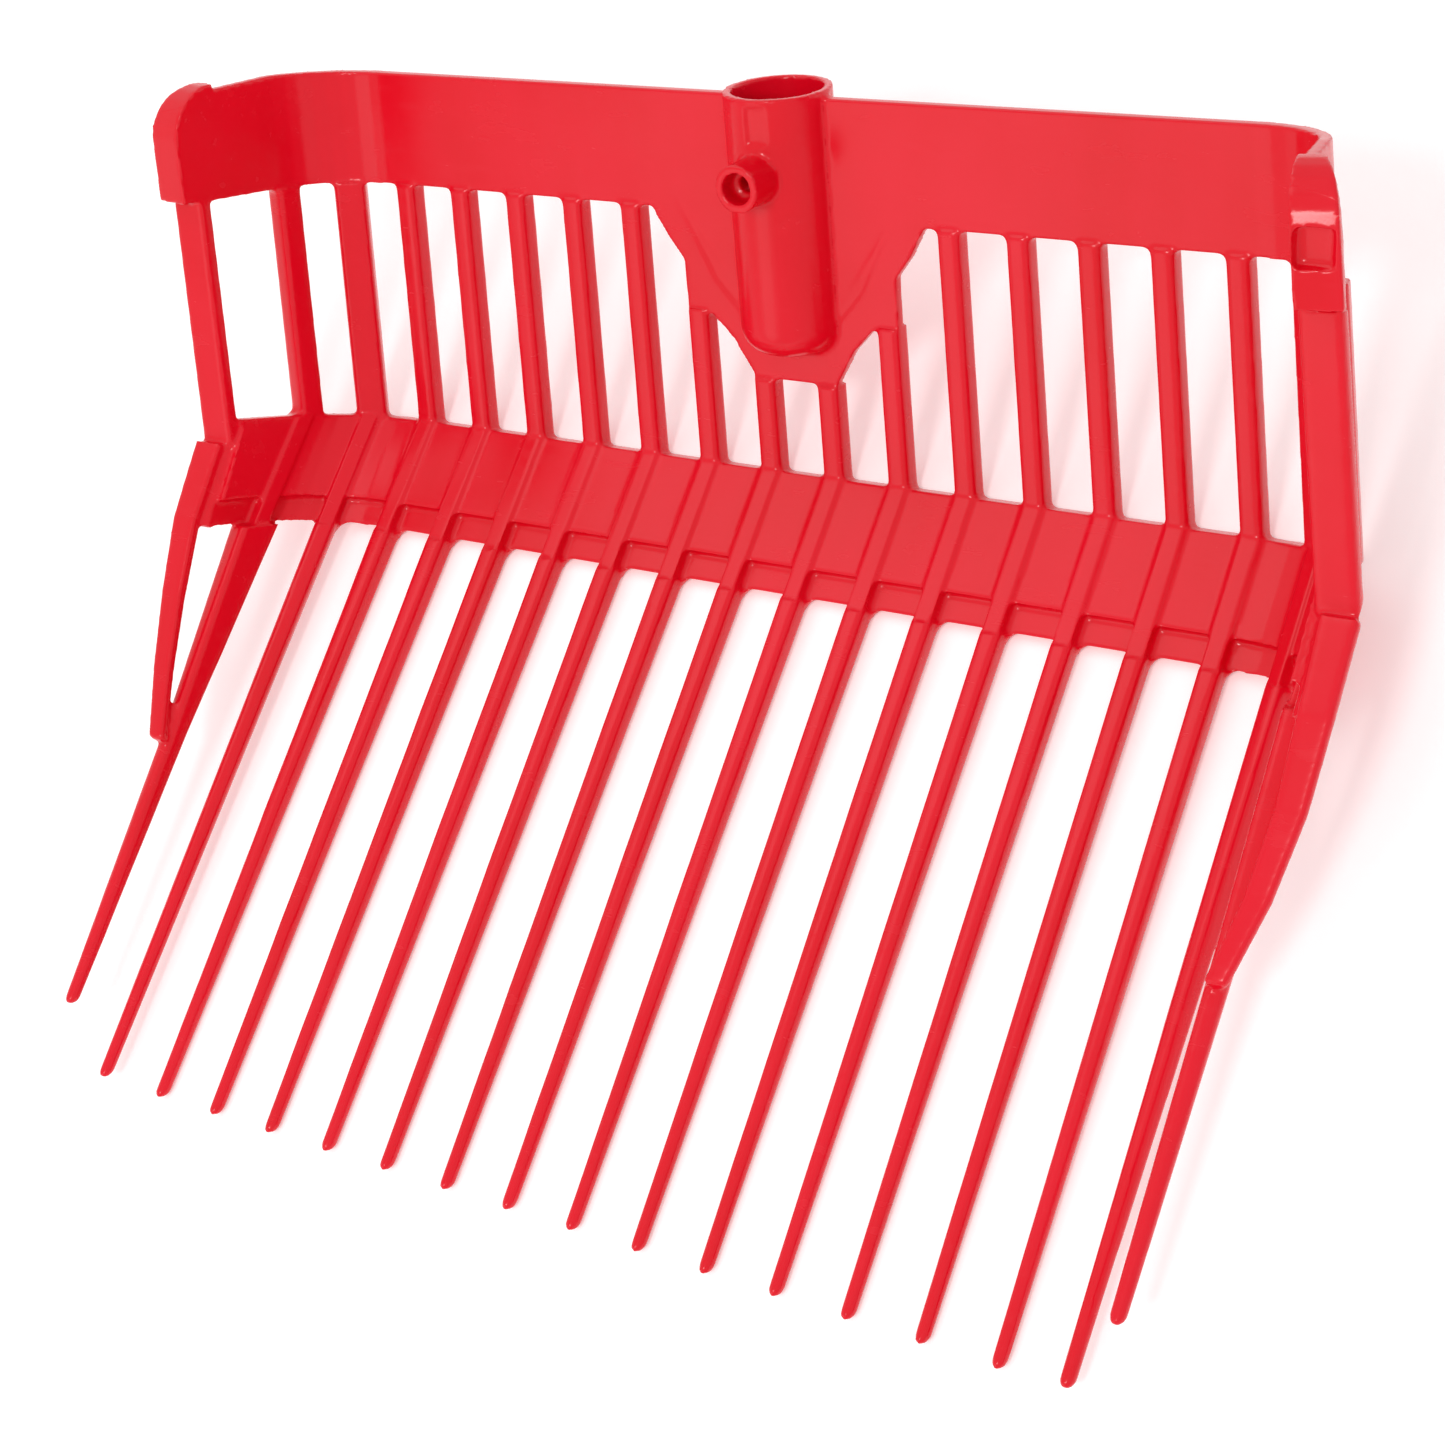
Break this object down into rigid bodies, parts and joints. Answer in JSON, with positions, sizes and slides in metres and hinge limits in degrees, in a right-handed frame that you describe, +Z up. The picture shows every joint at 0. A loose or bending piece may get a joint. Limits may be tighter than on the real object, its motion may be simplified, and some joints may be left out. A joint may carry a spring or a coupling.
{
  "type": "stall fork head",
  "caption": "Basket-shaped plastic fork head: tines on a heel band, a slatted back wall under a deep rail, raised sides and a central handle socket.",
  "frame": {"origin": "middle of the heel band's underside, on the floor the head lies on", "axes": "+X to the right seen from the tines' side, -Y towards the tines' tips, +Z up; the back wall rises backwards at 48 degrees"},
  "size_m": [0.3776, 0.3192, 0.1267],
  "materials": {
    "red_plastic": "glossy"
  },
  "bodies": {
    "root": {"handle_socket": "red_plastic", "heel_band": "red_plastic", "heel_corner_left": "red_plastic", "heel_corner_right": "red_plastic", "rail_corner_left": "red_plastic", "rail_corner_right": "red_plastic", "rail_end_left": "red_plastic", "rail_end_right": "red_plastic", "screw_boss": "red_plastic", "side_post_left": "red_plastic", "side_post_right": "red_plastic", "side_rail_left": "red_plastic", "side_rail_right": "red_plastic", "socket_web_left": "red_plastic", "socket_web_right": "red_plastic", "tine_01": "red_plastic", "tine_02": "red_plastic", "tine_03": "red_plastic", "tine_04": "red_plastic", "tine_05": "red_plastic", "tine_06": "red_plastic", "tine_07": "red_plastic", "tine_08": "red_plastic", "tine_09": "red_plastic", "tine_10": "red_plastic", "tine_11": "red_plastic", "tine_12": "red_plastic", "tine_13": "red_plastic", "tine_14": "red_plastic", "tine_15": "red_plastic", "tine_16": "red_plastic", "tine_17": "red_plastic", "tine_18": "red_plastic", "top_rail_left": "red_plastic", "top_rail_right": "red_plastic", "wall_slat_01": "red_plastic", "wall_slat_02": "red_plastic", "wall_slat_03": "red_plastic", "wall_slat_04": "red_plastic", "wall_slat_05": "red_plastic", "wall_slat_06": "red_plastic", "wall_slat_07": "red_plastic", "wall_slat_08": "red_plastic", "wall_slat_09": "red_plastic", "wall_slat_10": "red_plastic", "wall_slat_11": "red_plastic", "wall_slat_12": "red_plastic", "wall_slat_13": "red_plastic", "wall_slat_14": "red_plastic", "wall_slat_15": "red_plastic", "wall_slat_16": "red_plastic", "wall_slat_17": "red_plastic", "wall_slat_18": "red_plastic"}
  },
  "joints": []
}
